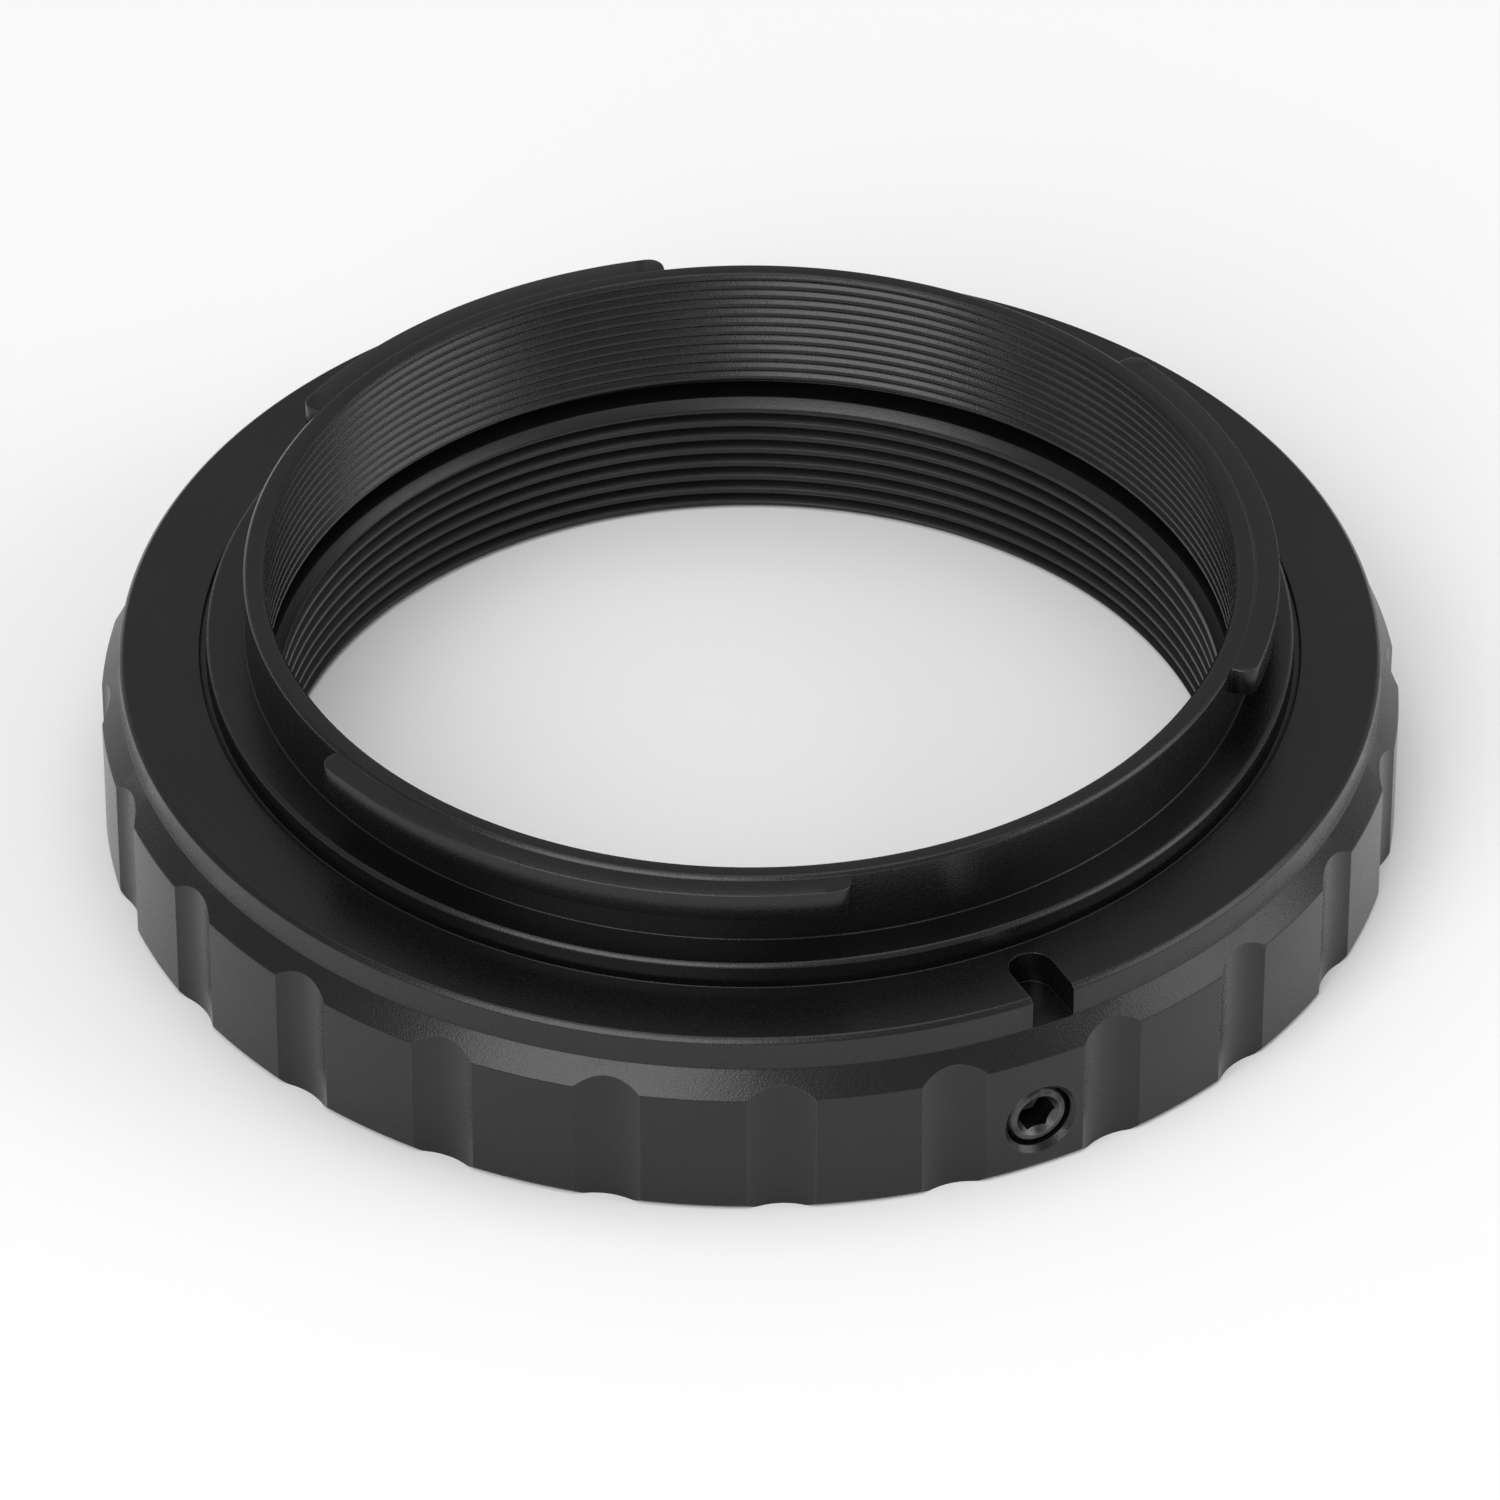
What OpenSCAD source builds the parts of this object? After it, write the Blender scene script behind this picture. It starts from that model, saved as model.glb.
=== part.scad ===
// Camera adapter ring: a bayonet body for the camera on top, and a turning
// ring with a 42 mm female thread for the telescope below, held by three set
// screws. The origin is on the optical axis, in the plane of the bottom face.
// Angles run counter-clockwise from the front (-Y), seen from above.

/* [Grip] */
// Diameter over the lands of the grip
grip_d = 56.5; // [55:0.5:72]
// Height of the flange face above the bottom face
flange_h = 8.5; // [8.5:0.1:12]
// How far the rim of the flange lies inside the lands
rim_step = 0.85; // [0.5:0.05:1.2]
// Height of the plain band under the flange face
rim_h = 1.5; // [1:0.05:1.5]
// Height of the cone between the band and the lands
cone_h = 1.1; // [0.6:0.05:1.4]
// Chamfer at the rim of the flange
rim_chamfer = 0.2; // [0.1:0.05:0.4]
// Chamfer around the bottom face
foot_chamfer = 0.2; // [0.1:0.05:0.4]

/* [Flutes] */
// Number of finger flutes
flute_count = 24; // [18:1:28]
// Width of a flute across the lands
flute_w = 3; // [2:0.1:3.4]
// Depth of a flute below the lands
flute_depth = 0.42; // [0.3:0.02:0.5]
// Angle of the first flute
flute_angle = 2.7; // [0:0.1:15]

/* [Bayonet] */
// Outside diameter of the collar
collar_d = 43.8; // [43.4:0.1:44.6]
// Diameter of the light path through the collar
collar_bore = 42; // [41.6:0.1:42.6]
// Height of the collar above the flange face
collar_h = 4.25; // [4:0.05:6]
// Diameter of the centring shoulder at the foot of the collar
shoulder_d = 47.2; // [46.4:0.1:48]
// Height of the centring shoulder
shoulder_h = 0.95; // [0.6:0.05:1.2]
// Width of the relief groove around the shoulder
relief_w = 0.3; // [0.2:0.05:0.4]
// Depth of the relief groove
relief_depth = 0.25; // [0.15:0.05:0.3]
// Diameter over the bayonet tabs
tab_d = 45.8; // [45.4:0.1:46.6]
// Thickness of a tab
tab_t = 1.3; // [1:0.05:1.5]
// How far the tabs lie below the top of the collar
tab_drop = 0.15; // [0.1:0.05:0.4]
// Radius of the tabs' corners
tab_corner = 0.7; // [0.4:0.1:0.8]
// First and last angle of the front tab
front_tab = [-53, 11]; // [-60:1:20]
// First and last angle of the right tab
right_tab = [70, 132]; // [60:1:140]
// First and last angle of the rear tab
rear_tab = [190, 240]; // [180:1:250]

/* [Lock slot] */
// Width of the slot for the camera's lock pin
slot_w = 1.95; // [1.6:0.05:2.4]
// How far the slot reaches in from the rim
slot_reach = 2.9; // [2.4:0.05:2.9]
// Angle of the slot
slot_angle = 27.6; // [20:0.1:40]

/* [Bore grooves] */
// Pitch of the anti-glare grooves in the collar
glare_pitch = 0.5; // [0.4:0.05:0.8]
// Depth of the anti-glare grooves
glare_depth = 0.17; // [0.1:0.01:0.3]

/* [Thread ring] */
// Nominal diameter of the female thread
thread_d = 42; // [41.6:0.1:42.4]
// Pitch of the female thread
thread_pitch = 0.75; // [0.5:0.05:1]
// Outside diameter of the thread ring
ring_d = 48.8; // [47.6:0.1:48.8]
// Height of the seat that bears against the body's ledge
seat_h = 6.95; // [6.6:0.05:7]
// Height of the inner lip
lip_h = 6; // [5.6:0.05:6.2]
// Diameter at which the lip steps up to the seat
lip_d = 44.4; // [43.6:0.1:45]
// Running clearance between the thread ring and the body
ring_gap = 0.05; // [0.03:0.01:0.09]
// Depth of the V groove that the set screws bite into
groove_depth = 0.5; // [0.4:0.05:0.9]

/* [Set screws] */
// Thread diameter of a set screw
screw_d = 3; // [2.5:0.1:3.4]
// Thread pitch of a set screw
screw_pitch = 0.5; // [0.4:0.05:0.6]
// Height of the set screws above the bottom face
screw_h = 2.6; // [2.2:0.1:4]
// Angle of the first set screw
screw_angle = 25.7; // [0:0.1:119]
// How deep the screws' outer faces lie below the lands
screw_recess = 0.3; // [0.1:0.05:0.5]
// Width across the flats of the hexagon socket
socket_af = 1.5; // [1.3:0.1:1.6]
// Depth of the hexagon socket
socket_depth = 1.4; // [1:0.1:2]
// Clearance around a set screw in its hole
screw_gap = 0.04; // [0.03:0.01:0.08]
// Gap between a screw's point and the V groove
tip_gap = 0.05; // [0.03:0.01:0.1]

/* [Hidden] */
$fn = 144;
anodised = [0.09, 0.09, 0.1];
black_oxide = [0.2, 0.2, 0.21];
over = 1; // how far cutters run past what they cut

// Body
grip_r = grip_d / 2;
rim_r = grip_r - rim_step;
rim_low = flange_h - rim_h;
cone_low = rim_low - cone_h;
top = flange_h + collar_h;
collar_r = collar_d / 2;
bore_r = collar_bore / 2;
shoulder_r = shoulder_d / 2;
shoulder_top = flange_h + shoulder_h;
lip_chamfer = 0.15;
tab_r = tab_d / 2;
tab_top = top - tab_drop;
TABS = [front_tab, right_tab, rear_tab];
pocket_r = ring_d / 2 + ring_gap;
ledge = seat_h + ring_gap;

// Anti-glare grooves, as many as fit between the ledge and the collar's top
glare_land = 0.08;
glare_first = ledge + glare_land + glare_pitch / 2;
glare_room = top - lip_chamfer - glare_pitch / 2 - glare_first;
glare_count = floor(glare_room / glare_pitch) + 1;

// Flute cutter: a cylinder that gives the flute its width and depth
flute_r = (flute_w * flute_w / 4 + flute_depth * flute_depth) / (2 * flute_depth);
flute_pitch = 360 / flute_count;

// Thread ring, with the crests of a metric thread a quarter pitch wide
ring_r = ring_d / 2;
major_r = thread_d / 2;
minor_r = major_r - 0.5413 * thread_pitch;
crest = thread_pitch / 4;
root = thread_pitch / 8;
mouth = 0.2;
lip_r = lip_d / 2;
lip_break = 0.4; // chamfer at the top of the bore
thread_first = mouth + crest;
thread_turns = floor((lip_h - lip_break - mouth) / thread_pitch);

// Set screws
screw_count = 3;
screw_r = screw_d / 2 - screw_gap;
hole_r = screw_d / 2;
hole_mouth = 0.25;
tip_r = 0.2;
groove_r = ring_r - groove_depth;
tip_place = groove_r + tip_gap;
screw_len = grip_r - screw_recess - tip_place;
screw_edge = 0.1;
point_len = screw_r - tip_r;
thread_depth = 0.2;
screw_turns = floor((screw_len - point_len - screw_edge - screw_pitch / 2) / screw_pitch);

function glare_z(i) = glare_first + i * glare_pitch;
function thread_z(i) = thread_first + i * thread_pitch;
function screw_turn(i) = point_len + (i + 0.5) * screw_pitch;

// Turns a piece drawn at the front to an angle
module at(angle) {
    rotate([0, 0, angle - 90])
        children();
}

// Half section of the body, from the pocket round the outside and up to the bore
module body_section() {
    polygon(concat(
        [
            [pocket_r, 0],
            [grip_r - foot_chamfer, 0],
            [grip_r, foot_chamfer],
            [grip_r, cone_low],
            [rim_r, rim_low],
            [rim_r, flange_h - rim_chamfer],
            [rim_r - rim_chamfer, flange_h],
            [shoulder_r + relief_w, flange_h],
            [shoulder_r + relief_w, flange_h - relief_depth],
            [shoulder_r, flange_h - relief_depth],
            [shoulder_r, shoulder_top - lip_chamfer],
            [shoulder_r - lip_chamfer, shoulder_top],
            [collar_r, shoulder_top],
            [collar_r, top - lip_chamfer],
            [collar_r - lip_chamfer, top],
            [bore_r + lip_chamfer, top],
            [bore_r, top - lip_chamfer]
        ],
        [for (i = [glare_count - 1:-1:0], p = [0, 1, 2, 3]) [
            bore_r + (p == 1 || p == 2 ? glare_depth : 0),
            glare_z(i) + [0.36, 0.04, -0.04, -0.36][p] * glare_pitch
        ]],
        [
            [bore_r, ledge],
            [pocket_r, ledge]
        ]
    ));
}

// One bayonet tab with rounded corners, from its first to its last angle
module tab(span) {
    corner_turn = asin(tab_corner / (tab_r - tab_corner));
    translate([0, 0, tab_top - tab_t]) {
        at(span[0])
            rotate_extrude(angle = span[1] - span[0])
                translate([collar_r - over / 2, 0])
                    square([tab_r - tab_corner - collar_r + over / 2, tab_t]);
        at(span[0] + corner_turn)
            rotate_extrude(angle = span[1] - span[0] - 2 * corner_turn)
                translate([collar_r - over / 2, 0])
                    square([tab_r - collar_r + over / 2, tab_t]);
        for (angle = [span[0] + corner_turn, span[1] - corner_turn])
            at(angle)
                translate([tab_r - tab_corner, 0, 0])
                    cylinder(r = tab_corner, h = tab_t);
    }
}

// Cutter for one finger flute
module flute() {
    translate([grip_r - flute_depth + flute_r, 0, -over])
        cylinder(r = flute_r, h = rim_low + over);
}

// Cutter for the lock pin's slot, round at its inner end
module slot() {
    translate([rim_r - slot_reach + slot_w / 2, 0, rim_low]) {
        cylinder(d = slot_w, h = rim_h + over);
        translate([0, -slot_w / 2, 0])
            cube([slot_reach + over, slot_w, rim_h + over]);
    }
}

// Cutter for one set screw's hole, with its countersunk mouth
module screw_hole() {
    translate([ring_r - over, 0, screw_h])
        rotate([0, 90, 0])
            cylinder(r = hole_r, h = grip_r - ring_r + 2 * over);
    translate([grip_r - hole_mouth, 0, screw_h])
        rotate([0, 90, 0])
            cylinder(r1 = hole_r, r2 = hole_r + 2 * hole_mouth, h = 2 * hole_mouth);
}

module body() {
    color(anodised)
        difference() {
            union() {
                rotate_extrude()
                    body_section();
                for (span = TABS)
                    tab(span);
            }
            for (i = [0:flute_count - 1])
                at(flute_angle + i * flute_pitch)
                    flute();
            at(slot_angle)
                slot();
            for (i = [0:screw_count - 1])
                at(screw_angle + i * 360 / screw_count)
                    screw_hole();
        }
}

// Half section of the thread ring, from the mouth round the outside to the bore
module ring_section() {
    polygon(concat(
        [
            [minor_r + mouth, 0],
            [ring_r - foot_chamfer, 0],
            [ring_r, foot_chamfer],
            [ring_r, screw_h - groove_depth - tip_r],
            [groove_r, screw_h - tip_r],
            [groove_r, screw_h + tip_r],
            [ring_r, screw_h + groove_depth + tip_r],
            [ring_r, seat_h - lip_chamfer],
            [ring_r - lip_chamfer, seat_h],
            [lip_r, seat_h],
            [lip_r, lip_h],
            [minor_r + lip_break, lip_h],
            [minor_r, lip_h - lip_break]
        ],
        [for (i = [thread_turns - 1:-1:0], p = [0, 1, 2, 3]) [
            p == 1 || p == 2 ? major_r : minor_r,
            thread_z(i) + [thread_pitch - crest, (thread_pitch - crest + root) / 2,
                           (thread_pitch - crest - root) / 2, 0][p]
        ]],
        [[minor_r, mouth]]
    ));
}

module thread_ring() {
    color(anodised)
        rotate_extrude()
            ring_section();
}

// Half section of a set screw, its point at the origin and its axis upwards
module screw_section() {
    polygon(concat(
        [
            [0, 0],
            [tip_r, 0],
            [screw_r, point_len]
        ],
        [for (i = [0:screw_turns - 1], p = [0, 1, 2]) [
            p == 1 ? screw_r - thread_depth : screw_r,
            screw_turn(i) + [-0.4, 0, 0.4][p] * screw_pitch
        ]],
        [
            [screw_r, screw_len - screw_edge],
            [screw_r - screw_edge, screw_len],
            [0, screw_len]
        ]
    ));
}

module set_screw(index) {
    color(black_oxide)
        at(screw_angle + index * 360 / screw_count)
            translate([tip_place, 0, screw_h])
                rotate([0, 90, 0])
                    difference() {
                        rotate_extrude()
                            screw_section();
                        translate([0, 0, screw_len - socket_depth])
                            cylinder(r = socket_af / sqrt(3), h = socket_depth + over, $fn = 6);
                    }
}

body();
thread_ring();
set_screw(0);  // set_screw_1
set_screw(1);  // set_screw_2
set_screw(2);  // set_screw_3
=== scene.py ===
# %% [markdown]
# # A camera adapter ring, from the bench to the picture
# The ring joins a camera to a telescope. Its black body carries a bayonet on
# top, a turning ring with a fine female thread sits inside it, and three small
# set screws lock the two together. This lesson models each of the five pieces
# the way a lathe and a mill would make it, and then gives each its finish.

# %% Load the frame
import math

import bmesh
import bpy
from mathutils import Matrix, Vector


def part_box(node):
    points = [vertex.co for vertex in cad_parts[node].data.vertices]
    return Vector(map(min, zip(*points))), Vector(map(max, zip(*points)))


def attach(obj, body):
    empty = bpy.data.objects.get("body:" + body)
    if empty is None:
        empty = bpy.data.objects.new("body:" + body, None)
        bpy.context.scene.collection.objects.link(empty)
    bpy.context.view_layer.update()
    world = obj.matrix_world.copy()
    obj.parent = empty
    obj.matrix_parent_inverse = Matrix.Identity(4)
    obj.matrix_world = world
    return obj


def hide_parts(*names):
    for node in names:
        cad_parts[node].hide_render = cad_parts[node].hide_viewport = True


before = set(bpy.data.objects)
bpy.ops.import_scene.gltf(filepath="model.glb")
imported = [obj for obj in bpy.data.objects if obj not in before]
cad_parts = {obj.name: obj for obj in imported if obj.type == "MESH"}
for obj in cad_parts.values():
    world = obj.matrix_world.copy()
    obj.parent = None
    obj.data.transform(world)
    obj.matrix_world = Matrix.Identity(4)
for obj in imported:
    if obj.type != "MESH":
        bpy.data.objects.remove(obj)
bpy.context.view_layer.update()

# %% [markdown]
# ## Sizes
# Blender works in metres, and a part this small is easier to read in
# millimetres, so every size below is in millimetres and MM turns it into
# metres. The outer sizes come from the frame, and what the frame's boxes can't
# say, such as a chamfer, is a named value.

# %% Sizes that the frame gives
MM = 0.001
body_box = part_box("body")
ring_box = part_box("thread_ring")
grip_r = body_box[1].x / MM
top = body_box[1].z / MM
ring_r = ring_box[1].x / MM
seat_h = ring_box[1].z / MM
print(f"grip radius {grip_r:.2f}, top {top:.2f}, ring radius {ring_r:.2f}, seat {seat_h:.2f}")

# %% Sizes of the body
flange_h = top - 4.25
rim_r = grip_r - 0.85
rim_low = flange_h - 1.5
cone_low = rim_low - 1.1
collar_r = 21.9
bore_r = 21.0
shoulder_r = 23.6
shoulder_top = flange_h + 0.95
tab_r = 22.9
tab_top = top - 0.15
tab_low = tab_top - 1.3
running_gap = 0.05
pocket_r = ring_r + running_gap
ledge = seat_h + running_gap

# %% [markdown]
# ## Helpers for the hand work
# An operator acts on whatever is selected, so each step first takes one piece
# and deselects the rest. In edit mode, the parts that a person would click are
# picked in code by where they lie.


# %% Taking a piece and picking its parts
def take(piece):
    """Make piece the only selected object, and the active one."""
    bpy.ops.object.select_all(action="DESELECT")
    piece.select_set(True)
    bpy.context.view_layer.objects.active = piece


def pick(kind, test):
    """In edit mode, select the VERT, EDGE or FACE parts whose middle, in mm, passes the test."""
    bpy.ops.mesh.select_mode(type=kind)
    bpy.ops.mesh.select_all(action="DESELECT")
    shape = bmesh.from_edit_mesh(bpy.context.object.data)
    parts = {"VERT": shape.verts, "EDGE": shape.edges, "FACE": shape.faces}[kind]
    found = 0
    for part in parts:
        corners = [part.co] if kind == "VERT" else [corner.co for corner in part.verts]
        middle = sum(corners, Vector()) / len(corners) / MM
        if test(middle):
            part.select_set(True)
            found += 1
    shape.select_flush_mode()
    bmesh.update_edit_mesh(bpy.context.object.data)
    return found


# %% [markdown]
# A turned part starts as its half section. A plane is merged into one vertex,
# and the vertex is extruded from point to point, as one clicks along an
# outline. The section is then spun round the axis, as stock turns in a lathe.


# %% Drawing a half section and turning it
def draw_section(name, points):
    """Draw a closed half section through (radius, height) points, in mm, and stay in edit mode."""
    bpy.ops.mesh.primitive_plane_add(size=MM, location=(0, 0, 0))
    piece = bpy.context.object
    piece.name = name
    take(piece)
    bpy.ops.object.mode_set(mode="EDIT")
    bpy.ops.mesh.select_mode(type="VERT")
    bpy.ops.mesh.select_all(action="SELECT")
    bpy.ops.mesh.merge(type="CENTER")
    radius, height = points[0]
    bpy.ops.transform.translate(value=(radius * MM, 0, height * MM))
    for next_radius, next_height in points[1:]:
        step = ((next_radius - radius) * MM, 0, (next_height - height) * MM)
        bpy.ops.mesh.extrude_vertices_move(TRANSFORM_OT_translate={"value": step})
        radius, height = next_radius, next_height
    return piece


def close_section():
    """Join the last point of the section to the first."""
    shape = bmesh.from_edit_mesh(bpy.context.object.data)
    bpy.ops.mesh.select_all(action="DESELECT")
    for corner in shape.verts:
        corner.select_set(len(corner.link_edges) == 1)
    shape.select_flush_mode()
    bpy.ops.mesh.edge_face_add()


def round_corners(width, test):
    """Round the section's corners that pass the test, by width in mm."""
    count = pick("VERT", test)
    bpy.ops.mesh.bevel(offset=width * MM, segments=3, affect="VERTICES", clamp_overlap=False)
    return count


def tidy_mesh():
    """Merge doubles and turn every face outwards, in edit mode."""
    bpy.ops.mesh.select_all(action="SELECT")
    bpy.ops.mesh.remove_doubles(threshold=0.0005 * MM)
    bpy.ops.mesh.normals_make_consistent(inside=False)


def turn(steps):
    """Spin the section once round the Z axis and leave edit mode."""
    bpy.ops.mesh.select_all(action="SELECT")
    bpy.ops.mesh.spin(
        steps=steps, angle=2 * math.pi, center=(0, 0, 0), axis=(0, 0, 1), use_auto_merge=True
    )
    tidy_mesh()
    bpy.ops.object.mode_set(mode="OBJECT")


# %% [markdown]
# ## The body's blank
# The body is one turned piece of aluminium: grip, flange, collar and bore. Its
# section carries the chamfers, the relief groove round the centring shoulder
# and the light trap, which is a row of fine grooves in the bore. A bevel on the
# section's corners breaks every turned edge, and those edges catch the light.

# %% The body's section
lip_chamfer = 0.15
rim_chamfer = 0.2
foot_chamfer = 0.2
relief_w = 0.3
relief_depth = 0.25
trap_pitch = 0.5
trap_depth = 0.13
trap_land = 0.08
trap_first = ledge + trap_land + trap_pitch / 2
trap_count = math.floor((top - lip_chamfer - trap_pitch / 2 - trap_first) / trap_pitch) + 1
outside = [
    (pocket_r, 0),
    (grip_r - foot_chamfer, 0),
    (grip_r, foot_chamfer),
    (grip_r, cone_low),
    (rim_r, rim_low),
    (rim_r, flange_h - rim_chamfer),
    (rim_r - rim_chamfer, flange_h),
    (shoulder_r + relief_w, flange_h),
    (shoulder_r + relief_w, flange_h - relief_depth),
    (shoulder_r, flange_h - relief_depth),
    (shoulder_r, shoulder_top - lip_chamfer),
    (shoulder_r - lip_chamfer, shoulder_top),
    (collar_r, shoulder_top),
    (collar_r, top - lip_chamfer),
    (collar_r - lip_chamfer, top),
    (bore_r + lip_chamfer, top),
    (bore_r, top - lip_chamfer),
]
light_trap = [
    (bore_r + depth, trap_first + turn_no * trap_pitch + rise * trap_pitch)
    for turn_no in reversed(range(trap_count))
    for depth, rise in [(0, 0.36), (trap_depth, 0.04), (trap_depth, -0.04), (0, -0.36)]
]
inside = [(bore_r, ledge), (pocket_r, ledge)]
print("points of the section:", len(outside) + len(light_trap) + len(inside))

# %% Turn the body's blank
edge_break = 0.05
lathe_steps = 360


def clear_of_the_trap(p):
    """True for the corners of the outside and of the top, and not for the light trap's."""
    return p.x > bore_r + 0.1 and (p.x > collar_r - 0.2 or p.z > top - 0.1)


body = draw_section("adapter_body", outside + light_trap + inside)
close_section()
rounded = round_corners(edge_break, clear_of_the_trap)
turn(lathe_steps)
print("rounded corners:", rounded, "faces of the blank:", len(body.data.polygons))

# %% [markdown]
# ## Cutting tools
# A milled feature is a boolean: a tool with the cutter's shape is added or
# taken away, and the modifier is applied. Tools are drawn on the +X side and
# turned to their place. Angles run counter-clockwise from the front, seen from
# above, so the front (-Y) is 0 and +X is 90.


# %% Placing and using tools
def face_angle(angle):
    """The turn about Z, in radians, that takes +X to an angle in degrees."""
    return math.radians(angle - 90)


def settle(piece):
    """Put the piece's place, turn and size into its mesh."""
    take(piece)
    bpy.ops.object.transform_apply(location=True, rotation=True, scale=True)


def copies_at(tool, angles):
    """Copy a tool to each angle, each copy with its own mesh, and join them into one tool."""
    copies = []
    for angle in angles:
        take(tool)
        bpy.ops.object.duplicate(linked=False)
        copy = bpy.context.object
        copy.rotation_euler.z = face_angle(angle)
        settle(copy)
        copies.append(copy)
    bpy.data.objects.remove(tool)
    for copy in copies:
        copy.select_set(True)
    bpy.context.view_layer.objects.active = copies[0]
    if len(copies) > 1:
        bpy.ops.object.join()
    return bpy.context.object


def combine(piece, tool, operation):
    """Add a tool to the piece (UNION) or take it away (DIFFERENCE)."""
    take(piece)
    bpy.ops.object.modifier_add(type="BOOLEAN")
    modifier = piece.modifiers[-1]
    modifier.operation = operation
    modifier.solver = "EXACT"
    modifier.object = tool
    bpy.ops.object.modifier_apply(modifier=modifier.name)
    bpy.data.objects.remove(tool)
    bpy.ops.object.mode_set(mode="EDIT")
    bpy.ops.mesh.select_mode(type="VERT")
    tidy_mesh()
    bpy.ops.object.mode_set(mode="OBJECT")
    print(operation.lower(), "gives", len(piece.data.polygons), "faces")


# %% [markdown]
# ## The bayonet tabs
# Three tabs on the collar hook behind the camera's mount. Each is a short arc
# of rectangular section with rounded corners. The arc is a spun rectangle, its
# end steps are longer than the corner's radius so that the bevel of the
# corners has room, and a second bevel breaks the edges.

# %% One tab
TABS = [(-53, 11), (70, 132), (190, 240)]
tab_corner = 0.7
tab_root = 0.5
end_step = 2.4


def sweep(steps, angle):
    """Spin what is selected on, counter-clockwise round the Z axis, by an angle in degrees."""
    bpy.ops.mesh.spin(steps=steps, angle=-math.radians(angle), center=(0, 0, 0), axis=(0, 0, 1))


def add_tab(first, last):
    """Model one bayonet tab from its first to its last angle."""
    root_r = collar_r - tab_root
    points = [(root_r, tab_low), (tab_r, tab_low), (tab_r, tab_top), (root_r, tab_top)]
    tab = draw_section("tab", points)
    close_section()
    bpy.ops.mesh.select_all(action="SELECT")
    bpy.ops.mesh.edge_face_add()
    span = last - first
    sweep(1, end_step)
    sweep(round(span - 2 * end_step), span - 2 * end_step)
    sweep(1, end_step)
    tidy_mesh()

    def at_corner(p):
        angle = math.degrees(math.atan2(p.y, p.x))
        at_end = min(abs(angle), abs(angle - span)) < 0.2
        at_rim = Vector((p.x, p.y)).length > tab_r - 0.1
        return at_end and at_rim and tab_low + 0.1 < p.z < tab_top - 0.1

    corners = pick("EDGE", at_corner)
    bpy.ops.mesh.bevel(offset=tab_corner * MM, segments=8, affect="EDGES")
    bpy.ops.object.mode_set(mode="OBJECT")
    bpy.ops.object.modifier_add(type="BEVEL")
    modifier = tab.modifiers[-1]
    modifier.width = edge_break * MM
    modifier.segments = 2
    modifier.angle_limit = math.radians(60)
    bpy.ops.object.modifier_apply(modifier=modifier.name)
    tab.rotation_euler.z = face_angle(first)
    settle(tab)
    print("tab corners rounded:", corners, "faces:", len(tab.data.polygons))
    return tab


for first, last in TABS:
    combine(body, add_tab(first, last), "UNION")

# %% [markdown]
# ## The finger flutes
# Twenty-four shallow flutes are milled down the grip. A large cylinder that
# only grazes the rim leaves a flute of the right width and depth, and where it
# leaves the cone it draws the round arch at each flute's top.

# %% Mill the flutes
flute_count = 24
flute_w = 3.0
flute_depth = 0.42
flute_r = (flute_w**2 / 4 + flute_depth**2) / (2 * flute_depth)
flute_pitch = 360 / flute_count
first_flute = 2.7
overcut = 1.0
bpy.ops.mesh.primitive_cylinder_add(
    vertices=144,
    radius=flute_r * MM,
    depth=(rim_low + overcut) * MM,
    location=((grip_r - flute_depth + flute_r) * MM, 0, (rim_low - overcut) / 2 * MM),
)
flute_cutter = bpy.context.object
settle(flute_cutter)
flute_angles = [first_flute + index * flute_pitch for index in range(flute_count)]
combine(body, copies_at(flute_cutter, flute_angles), "DIFFERENCE")

# %% [markdown]
# ## The lock slot
# The camera's lock pin drops into a slot in the flange. The tool is a cylinder
# for the round inner end, and its outer half is drawn out past the rim. Its
# floor lies a hair below the cone's upper edge, so that the two don't coincide.

# %% Mill the lock slot
slot_w = 1.95
slot_reach = 2.9
slot_angle = 27.6
slot_under = 0.03
slot_x = rim_r - slot_reach + slot_w / 2
slot_floor = rim_low - slot_under
bpy.ops.mesh.primitive_cylinder_add(
    vertices=64,
    radius=slot_w / 2 * MM,
    depth=2 * (flange_h - slot_floor) * MM,
    location=(slot_x * MM, 0, flange_h * MM),
)
slot_cutter = bpy.context.object
settle(slot_cutter)
bpy.ops.object.mode_set(mode="EDIT")
pick("VERT", lambda p: p.x > slot_x + 0.01)
bpy.ops.transform.translate(value=(slot_reach * MM, 0, 0))
bpy.ops.object.mode_set(mode="OBJECT")
combine(body, copies_at(slot_cutter, [slot_angle]), "DIFFERENCE")

# %% [markdown]
# ## The screw holes
# Three radial holes take the set screws. Each is drilled through the grip's
# wall and countersunk at its mouth: the cylinder's outer cap is extruded on
# and widened.

# %% Drill the screw holes
SCREW_ANGLES = [25.7, 145.7, 265.7]
screw_d = 3.0
screw_h = 2.6
hole_mouth = 0.25
hole_start = pocket_r - overcut
hole_end = grip_r - hole_mouth
bpy.ops.mesh.primitive_cylinder_add(
    vertices=64,
    radius=screw_d / 2 * MM,
    depth=(hole_end - hole_start) * MM,
    location=((hole_start + hole_end) / 2 * MM, 0, screw_h * MM),
    rotation=(0, math.pi / 2, 0),
)
drill = bpy.context.object
settle(drill)
bpy.ops.object.mode_set(mode="EDIT")
pick("FACE", lambda p: p.x > hole_end - 0.01)
bpy.ops.mesh.extrude_region_move(TRANSFORM_OT_translate={"value": (2 * hole_mouth * MM, 0, 0)})
widen = (screw_d / 2 + 2 * hole_mouth) / (screw_d / 2)
bpy.ops.transform.resize(
    value=(1, widen, widen), center_override=(hole_end * MM, 0, screw_h * MM)
)
bpy.ops.object.mode_set(mode="OBJECT")
combine(body, copies_at(drill, SCREW_ANGLES), "DIFFERENCE")

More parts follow.
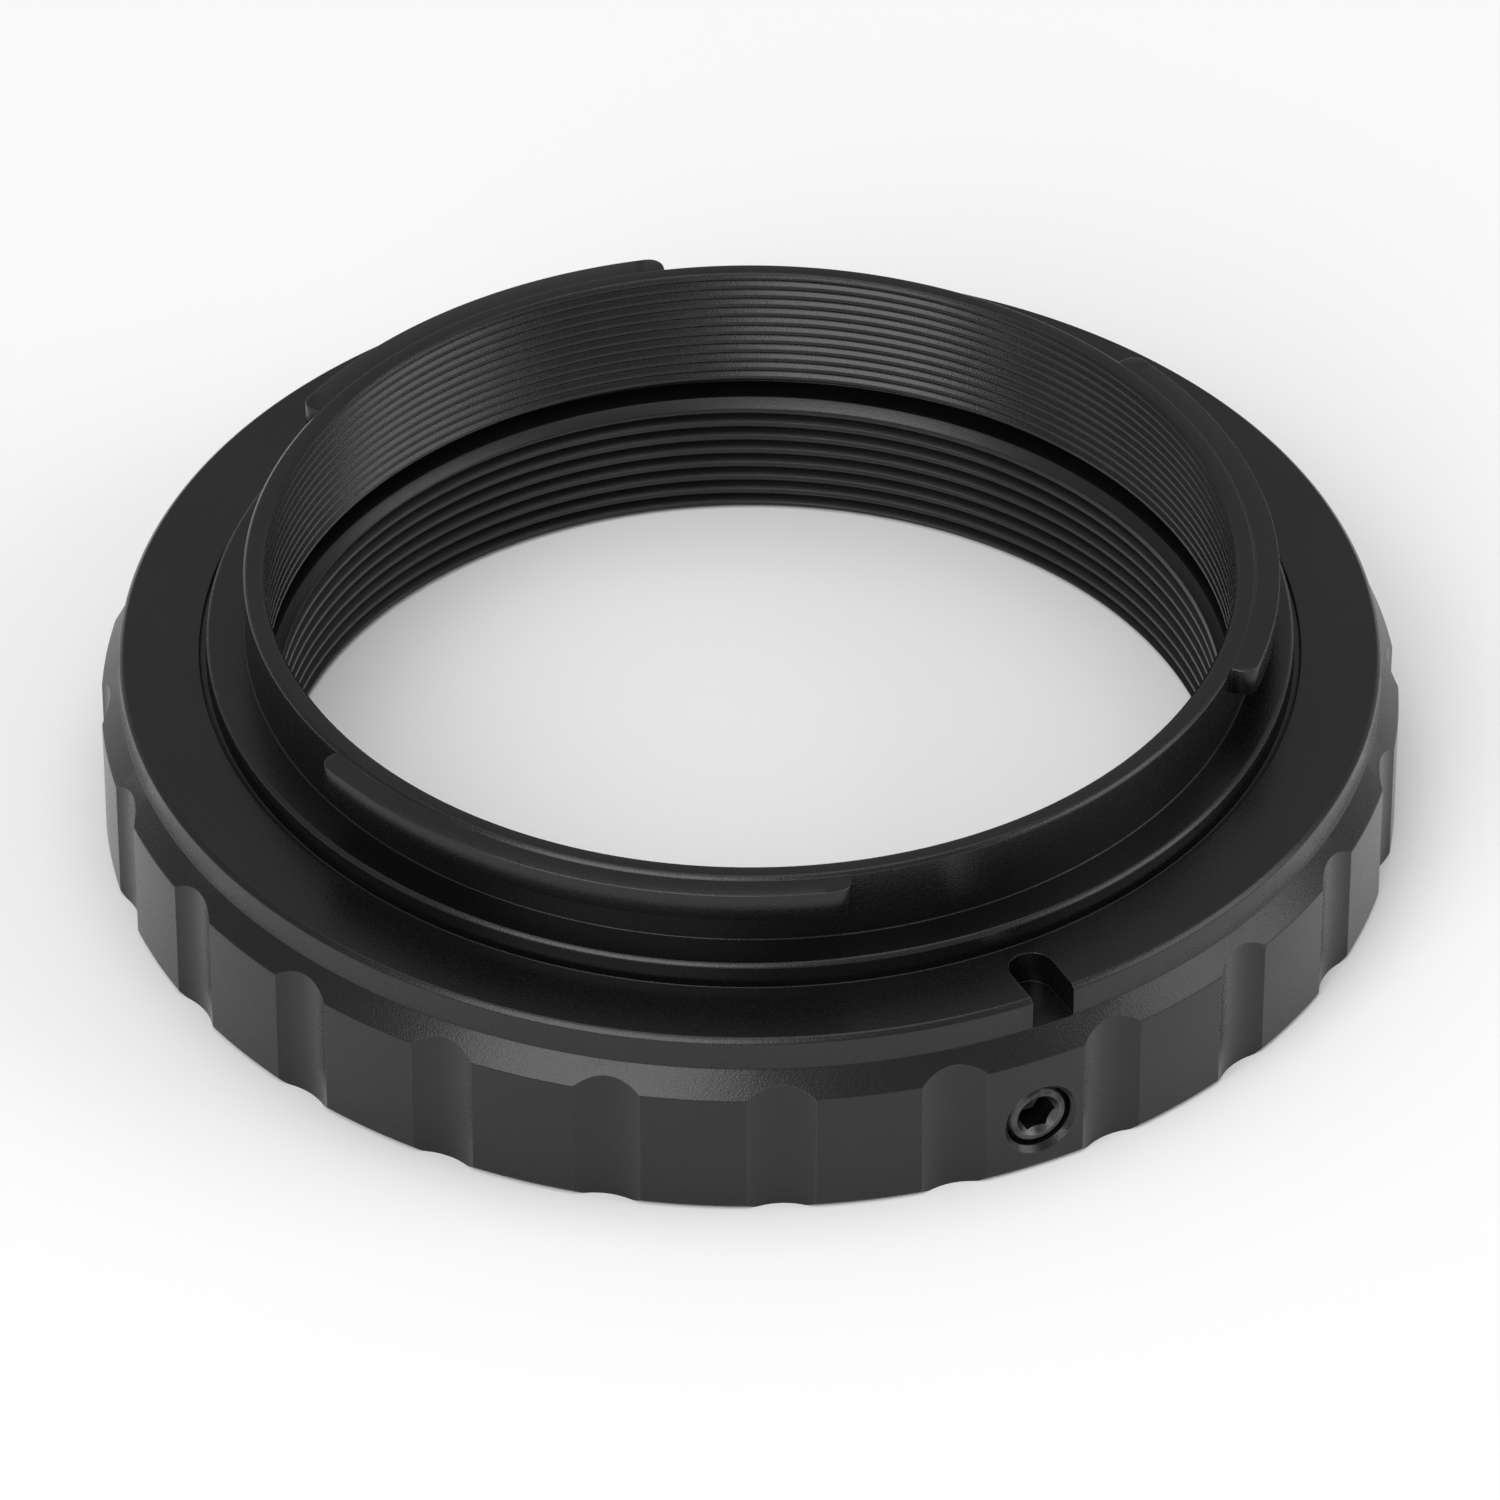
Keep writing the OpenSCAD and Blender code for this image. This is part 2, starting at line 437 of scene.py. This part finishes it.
# %% [markdown]
# ## A cutter for screw threads
# A thread is one profile carried round and up the axis. The Screw modifier
# does exactly that, here over any number of turns, and its ends are filled to
# make a closed tool. A bore is cut from inside and a shank from outside, with
# the same function.


# %% The thread cutter
def thread_cutter(mouth_r, mouth_w, root_r, root_w, pitch, turns, start, steps):
    """A helical ridge from its wide side (mouth) to its narrow side (root), in mm."""
    points = [
        (mouth_r, -mouth_w / 2),
        (root_r, -root_w / 2),
        (root_r, root_w / 2),
        (mouth_r, mouth_w / 2),
    ]
    tool = draw_section("thread_cutter", points)
    close_section()
    bpy.ops.mesh.select_all(action="SELECT")
    bpy.ops.transform.translate(value=(0, 0, start * MM))
    bpy.ops.object.mode_set(mode="OBJECT")
    bpy.ops.object.modifier_add(type="SCREW")
    sweep_up = tool.modifiers[-1]
    rounds = math.ceil(turns)
    sweep_up.iterations = rounds
    sweep_up.angle = 2 * math.pi * turns / rounds
    sweep_up.screw_offset = pitch * turns / rounds * MM
    sweep_up.steps = steps
    sweep_up.render_steps = steps
    bpy.ops.object.modifier_apply(modifier=sweep_up.name)
    bpy.ops.object.mode_set(mode="EDIT")
    bpy.ops.mesh.select_mode(type="EDGE")
    bpy.ops.mesh.select_all(action="DESELECT")
    bpy.ops.mesh.select_non_manifold()
    bpy.ops.mesh.fill_holes(sides=len(points))
    tidy_mesh()
    bpy.ops.object.mode_set(mode="OBJECT")
    return tool


# %% [markdown]
# ## The thread ring
# The turning ring carries the telescope's thread, 42 mm across with a pitch of
# 0.75 mm. It is turned like the body, with a V groove round its outside for
# the set screws, and its thread is a real helix.

# %% Turn the thread ring
major_r = 21.0
thread_pitch = 0.75
minor_r = major_r - 0.5413 * thread_pitch
lip_h = 6.0
lip_r = 22.2
lip_break = 0.4
groove_depth = 0.5
groove_flat = 0.2
mouth = 0.2
ring_edge_break = 0.04
ring_section = [
    (minor_r + mouth, 0),
    (ring_r - foot_chamfer, 0),
    (ring_r, foot_chamfer),
    (ring_r, screw_h - groove_depth - groove_flat),
    (ring_r - groove_depth, screw_h - groove_flat),
    (ring_r - groove_depth, screw_h + groove_flat),
    (ring_r, screw_h + groove_depth + groove_flat),
    (ring_r, seat_h - lip_chamfer),
    (ring_r - lip_chamfer, seat_h),
    (lip_r, seat_h),
    (lip_r, lip_h),
    (minor_r + lip_break, lip_h),
    (minor_r, lip_h - lip_break),
    (minor_r, mouth),
]
thread_ring = draw_section("telescope_thread_ring", ring_section)
close_section()
round_corners(ring_edge_break, lambda p: True)
turn(lathe_steps)
print("faces of the ring's blank:", len(thread_ring.data.polygons))

# %% [markdown]
# The thread starts below the ring and ends in the chamfer at the top of its
# bore. A metric nut's thread is a quarter of the pitch wide at its crests and
# an eighth at its roots, and its flanks lean 30 degrees.

# %% Cut the telescope's thread
flank = math.tan(math.radians(30))
clearance = 0.1
thread_start = -0.29
thread_turns = 7.75
cutter = thread_cutter(
    mouth_r=minor_r - clearance,
    mouth_w=thread_pitch * 3 / 4 + 2 * clearance * flank,
    root_r=major_r,
    root_w=thread_pitch / 8,
    pitch=thread_pitch,
    turns=thread_turns,
    start=thread_start,
    steps=240,
)
combine(thread_ring, cutter, "DIFFERENCE")

# %% [markdown]
# ## The set screws
# A set screw is a threaded pin with a cone point and a hexagon socket. One is
# turned upright at the origin, threaded and broached, and then copied into the
# three holes.

# %% Turn the blank of a set screw
screw_gap = 0.04
tip_gap = 0.05
screw_recess = 0.3
screw_r = screw_d / 2 - screw_gap
tip_place = ring_r - groove_depth + tip_gap
screw_len = grip_r - screw_recess - tip_place
tip_r = 0.2
point_len = screw_r - tip_r
screw_edge = 0.22
screw_edge_break = 0.03
screw_section = [
    (0, 0),
    (tip_r, 0),
    (screw_r, point_len),
    (screw_r, screw_len - screw_edge),
    (screw_r - screw_edge, screw_len),
    (0, screw_len),
]
screw = draw_section("screw_blank", screw_section)
round_corners(screw_edge_break, lambda p: p.x > 0.01 and p.z > point_len / 2)
turn(72)
print("screw length", round(screw_len, 2), "faces:", len(screw.data.polygons))

# %% Cut the screw's thread
screw_pitch = 0.5
screw_thread = 0.28
screw_turns = 6
cutter = thread_cutter(
    mouth_r=screw_r + clearance,
    mouth_w=screw_pitch * 3 / 4 + 2 * clearance * flank,
    root_r=screw_r - screw_thread,
    root_w=screw_pitch / 8,
    pitch=screw_pitch,
    turns=screw_turns,
    start=point_len - screw_pitch,
    steps=80,
)
combine(screw, cutter, "DIFFERENCE")

# %% [markdown]
# The broach is a hexagon. Its end is drawn in and down, for the hole that is
# drilled ahead of it.

# %% Broach the hexagon socket
socket_af = 1.5
socket_depth = 1.4
socket_r = socket_af / math.sqrt(3)
drill_step = 0.55 * socket_r
drill_depth = 0.3
bpy.ops.mesh.primitive_cylinder_add(
    vertices=6,
    radius=socket_r * MM,
    depth=2 * socket_depth * MM,
    location=(0, 0, screw_len * MM),
)
broach = bpy.context.object
settle(broach)
bpy.ops.object.mode_set(mode="EDIT")
pick("FACE", lambda p: p.z < screw_len - socket_depth + 0.01)
bpy.ops.mesh.inset(thickness=drill_step * MM)
bpy.ops.transform.translate(value=(0, 0, -drill_depth * MM))
bpy.ops.object.mode_set(mode="OBJECT")
combine(screw, broach, "DIFFERENCE")

# %% Countersink the socket
sink_low = socket_r - 0.15
sink_high = socket_r + 0.45
sink_depth = 0.6
bpy.ops.mesh.primitive_cone_add(
    vertices=72,
    radius1=sink_low * MM,
    radius2=sink_high * MM,
    depth=sink_depth * MM,
    location=(0, 0, screw_len * MM),
)
countersink = bpy.context.object
settle(countersink)
combine(screw, countersink, "DIFFERENCE")

# %% Copy the screw into its three holes
set_screws = []
for number, angle in enumerate(SCREW_ANGLES, start=1):
    take(screw)
    bpy.ops.object.duplicate(linked=False)
    copy = bpy.context.object
    copy.name = f"lock_screw_{number}"
    copy.rotation_euler.y = math.pi / 2
    copy.location = (tip_place * MM, 0, screw_h * MM)
    settle(copy)
    copy.rotation_euler.z = face_angle(angle)
    settle(copy)
    set_screws.append(copy)
bpy.data.objects.remove(screw)
print("screws placed:", [piece.name for piece in set_screws])

# %% [markdown]
# ## Clean shading
# Large turned faces should shade flat right up to their broken edges. Edges
# sharper than 30 degrees are kept sharp, and a weighted normal lets each large
# face decide the normals of the narrow bevels beside it.

# %% Smooth the five pieces
for piece in [body, thread_ring, *set_screws]:
    take(piece)
    bpy.ops.object.shade_smooth_by_angle(angle=math.radians(30))
    bpy.ops.object.modifier_add(type="WEIGHTED_NORMAL")
    piece.modifiers[-1].keep_sharp = True
    bpy.ops.object.modifier_apply(modifier=piece.modifiers[-1].name)
    print(piece.name, "has", len(piece.data.polygons), "faces")

# %% [markdown]
# ## Who rides with whom
# Each piece stands for the CAD node of the same place and moves with its body.

# %% Seat the pieces on their bodies
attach(body, "body")
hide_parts("body")
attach(thread_ring, "thread_ring")
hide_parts("thread_ring")
for number, piece in enumerate(set_screws, start=1):
    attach(piece, f"set_screw_{number}")
    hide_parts(f"set_screw_{number}")

# %% [markdown]
# ## Finishes
# Black anodising is a hard, clear oxide over dyed pores: dark, but with the
# sheen of glass. Lathe marks run round it, a fine blast gives it a grain, and
# its edges are painted a paler grey, partly as wear and partly as a painted
# highlight along the edges. The marks follow the distance from the axis and
# the height, so they run round every turned face.


# %% Small helpers for node trees
def new_material(name):
    """A material with its shader; returns the material, its nodes and a linking function."""
    material = bpy.data.materials.new(name)
    material.use_nodes = True
    return material, material.node_tree.nodes, material.node_tree.links.new


def add_noise(nodes, link, vector, scale, detail):
    """A noise over the given vector, with a scale in features per metre."""
    noise = nodes.new("ShaderNodeTexNoise")
    noise.inputs["Scale"].default_value = scale
    noise.inputs["Detail"].default_value = detail
    link(vector, noise.inputs["Vector"])
    return noise.outputs["Fac"]


def add_range(nodes, link, value, low, high, to_low, to_high):
    """Carry a value from one range to another."""
    remap = nodes.new("ShaderNodeMapRange")
    remap.inputs["From Min"].default_value = low
    remap.inputs["From Max"].default_value = high
    remap.inputs["To Min"].default_value = to_low
    remap.inputs["To Max"].default_value = to_high
    link(value, remap.inputs["Value"])
    return remap.outputs["Result"]


def add_mix(nodes, link, factor, first, second):
    """A colour between two others; each is a colour or the output of a node."""
    mix = nodes.new("ShaderNodeMix")
    mix.data_type = "RGBA"
    for name, colour in [("A", first), ("B", second)]:
        if isinstance(colour, tuple):
            mix.inputs[name].default_value = (*colour, 1)
        else:
            link(colour, mix.inputs[name])
    link(factor, mix.inputs["Factor"])
    return mix.outputs["Result"]


def add_bump(nodes, link, height, strength, depth, normal):
    """A fine relief over a normal, with its depth in mm."""
    bump = nodes.new("ShaderNodeBump")
    bump.inputs["Strength"].default_value = strength
    bump.inputs["Distance"].default_value = depth * MM
    link(height, bump.inputs["Height"])
    link(normal, bump.inputs["Normal"])
    return bump.outputs["Normal"]


# %% Coordinates that run round the axis
def add_lathe_vector(nodes, link, place):
    """A vector of the distance from the axis and the height, for marks that run round."""
    split = nodes.new("ShaderNodeSeparateXYZ")
    link(place, split.inputs["Vector"])
    flat = nodes.new("ShaderNodeCombineXYZ")
    link(split.outputs["X"], flat.inputs["X"])
    link(split.outputs["Y"], flat.inputs["Y"])
    reach = nodes.new("ShaderNodeVectorMath")
    reach.operation = "LENGTH"
    link(flat.outputs["Vector"], reach.inputs[0])
    joined = nodes.new("ShaderNodeCombineXYZ")
    link(reach.outputs["Value"], joined.inputs["X"])
    link(split.outputs["Z"], joined.inputs["Y"])
    return joined.outputs["Vector"]


# %% Where an edge is
def add_edge_mask(nodes, link, radius):
    """How well a rounded normal agrees with the true one, worst at edges; and that normal."""
    rounded_normal = nodes.new("ShaderNodeBevel")
    rounded_normal.samples = 4
    rounded_normal.inputs["Radius"].default_value = radius * MM
    geometry = nodes.new("ShaderNodeNewGeometry")
    compare = nodes.new("ShaderNodeVectorMath")
    compare.operation = "DOT_PRODUCT"
    link(rounded_normal.outputs["Normal"], compare.inputs[0])
    link(geometry.outputs["Normal"], compare.inputs[1])
    return compare.outputs["Value"], rounded_normal.outputs["Normal"]


# %% The anodised finish
DYE_DARK = (0.0025, 0.0025, 0.0027)
DYE_LIGHT = (0.0045, 0.0045, 0.0048)
# The third grey is painted on the edges: partly wear, partly a painted highlight along them.
EDGE_WEAR_AND_HIGHLIGHT_GREY = (0.05, 0.05, 0.052)


def anodised(name, rough_low, rough_high, mark_strength):
    """Dyed anodising on turned aluminium: blotchy dye, paler edges that are partly wear and partly
    a painted highlight, lathe marks and grain.
    """
    material, nodes, link = new_material(name)
    shader = nodes["Principled BSDF"]
    shader.inputs["IOR"].default_value = 1.48
    place = nodes.new("ShaderNodeTexCoord").outputs["Object"]
    lathe = add_lathe_vector(nodes, link, place)
    grain = add_noise(nodes, link, place, 13000, 2)
    blotch = add_noise(nodes, link, place, 140, 3)
    marks = add_noise(nodes, link, lathe, 7000, 2)
    edge, soft_normal = add_edge_mask(nodes, link, 0.06)
    # Where the edges are painted paler, broken into patches: partly wear, partly a painted
    # highlight.
    patchy_wear_and_highlight = nodes.new("ShaderNodeMath")
    patchy_wear_and_highlight.operation = "MULTIPLY"
    link(add_range(nodes, link, edge, 0.995, 0.93, 0, 1), patchy_wear_and_highlight.inputs[0])
    link(add_range(nodes, link, blotch, 0.42, 0.62, 0.25, 1), patchy_wear_and_highlight.inputs[1])
    blotch_range = add_range(nodes, link, blotch, 0.3, 0.7, 0, 1)
    tone = add_mix(nodes, link, blotch_range, DYE_DARK, DYE_LIGHT)
    colour = add_mix(nodes, link, patchy_wear_and_highlight.outputs["Value"], tone, EDGE_WEAR_AND_HIGHLIGHT_GREY)
    link(colour, shader.inputs["Base Color"])
    roughness = add_range(nodes, link, grain, 0.3, 0.7, rough_low, rough_high)
    link(roughness, shader.inputs["Roughness"])
    marked = add_bump(nodes, link, marks, mark_strength, 0.004, soft_normal)
    blasted = add_bump(nodes, link, grain, 0.8, 0.01, marked)
    link(blasted, shader.inputs["Normal"])
    return material


def coat(piece, material):
    """Make this the piece's only material."""
    piece.data.materials.clear()
    piece.data.materials.append(material)


coat(body, anodised("black_anodised_body", 0.2, 0.32, 0.5))
coat(thread_ring, anodised("black_anodised_ring", 0.28, 0.42, 0.6))


# %% [markdown]
# The screws are steel with a thin black oxide. It rubs off the edges of the
# socket and the crests of the thread, and bare steel shows there.

# %% The oxide finish
OXIDE_DARK = (0.05, 0.049, 0.048)
OXIDE_LIGHT = (0.1, 0.099, 0.097)
BARE_STEEL = (0.3, 0.295, 0.285)


def black_oxide(name):
    """Blackened steel, worn bright on its edges."""
    material, nodes, link = new_material(name)
    shader = nodes["Principled BSDF"]
    shader.inputs["Metallic"].default_value = 1.0
    place = nodes.new("ShaderNodeTexCoord").outputs["Object"]
    grain = add_noise(nodes, link, place, 9000, 3)
    blotch = add_noise(nodes, link, place, 1500, 2)
    edge, soft_normal = add_edge_mask(nodes, link, 0.04)
    wear = add_range(nodes, link, edge, 0.99, 0.85, 0, 1)
    blotch_range = add_range(nodes, link, blotch, 0.35, 0.65, 0, 1)
    tone = add_mix(nodes, link, blotch_range, OXIDE_DARK, OXIDE_LIGHT)
    link(add_mix(nodes, link, wear, tone, BARE_STEEL), shader.inputs["Base Color"])
    link(add_range(nodes, link, grain, 0.3, 0.7, 0.28, 0.46), shader.inputs["Roughness"])
    link(add_bump(nodes, link, grain, 0.4, 0.004, soft_normal), shader.inputs["Normal"])
    return material


oxide = black_oxide("black_oxide_steel")
for piece in set_screws:
    coat(piece, oxide)

# %% [markdown]
# ## The studio
# A plain pale floor, a soft box near the camera that draws the bright band on
# the cone, a second one on the right, and a wide one overhead that lights the
# floor. The room itself is a dim, even grey. The floor is clear from below, so
# that the underside can be looked at.

# %% Floor and room
FLOOR_TONE = (0.92, 0.92, 0.92, 1)
ROOM_TONE = (0.4, 0.4, 0.4, 1)
bpy.ops.mesh.primitive_plane_add(size=4, location=(0, 0, 0))
floor = bpy.context.object
floor.name = "floor"
material, nodes, link = new_material("pale_floor")
shader = nodes["Principled BSDF"]
shader.inputs["Base Color"].default_value = FLOOR_TONE
shader.inputs["Roughness"].default_value = 0.9
shader.inputs["Specular IOR Level"].default_value = 0.0
geometry = nodes.new("ShaderNodeNewGeometry")
clear = nodes.new("ShaderNodeBsdfTransparent")
either = nodes.new("ShaderNodeMixShader")
link(geometry.outputs["Backfacing"], either.inputs["Fac"])
link(shader.outputs["BSDF"], either.inputs[1])
link(clear.outputs["BSDF"], either.inputs[2])
link(either.outputs["Shader"], nodes["Material Output"].inputs["Surface"])
floor.data.materials.append(material)
world = bpy.data.worlds.new("room")
bpy.context.scene.world = world
world.use_nodes = True
world.node_tree.nodes["Background"].inputs["Color"].default_value = ROOM_TONE
bpy.context.scene.view_settings.view_transform = "Standard"


# %% Soft boxes
def soft_box(name, direction, distance, size, radiance):
    """A square area light that looks at the origin, with its brightness as seen from there."""
    bpy.ops.object.light_add(type="AREA", location=Vector(direction).normalized() * distance)
    light = bpy.context.object
    light.name = name
    light.data.size = size
    light.data.energy = radiance * math.pi * size**2
    light.rotation_euler = Vector(direction).to_track_quat("Z", "Y").to_euler()
    return light


light_distance = 0.9
soft_box("key", (-0.36, -0.7, 0.615), light_distance, 0.66, 3.6)
soft_box("side", (0.902, -0.119, 0.411), light_distance, 0.56, 2.3)
soft_box("overhead", (0, 0.05, 1), light_distance, 0.8, 1.25)

# %% Camera
camera_distance = 0.5
camera_tilt = math.radians(38.5)
aim_up = math.radians(0.229)
aim = Vector((0, 0, -0.25 * MM))
back = Vector((0, -math.cos(camera_tilt), math.sin(camera_tilt)))
bpy.ops.object.camera_add(location=aim + back * camera_distance)
camera = bpy.context.object
camera.data.sensor_width = 36
camera.data.lens = 273.24
camera.data.clip_start = 0.01
camera.rotation_euler = (math.pi / 2 - camera_tilt + aim_up, 0, 0)
bpy.context.scene.camera = camera
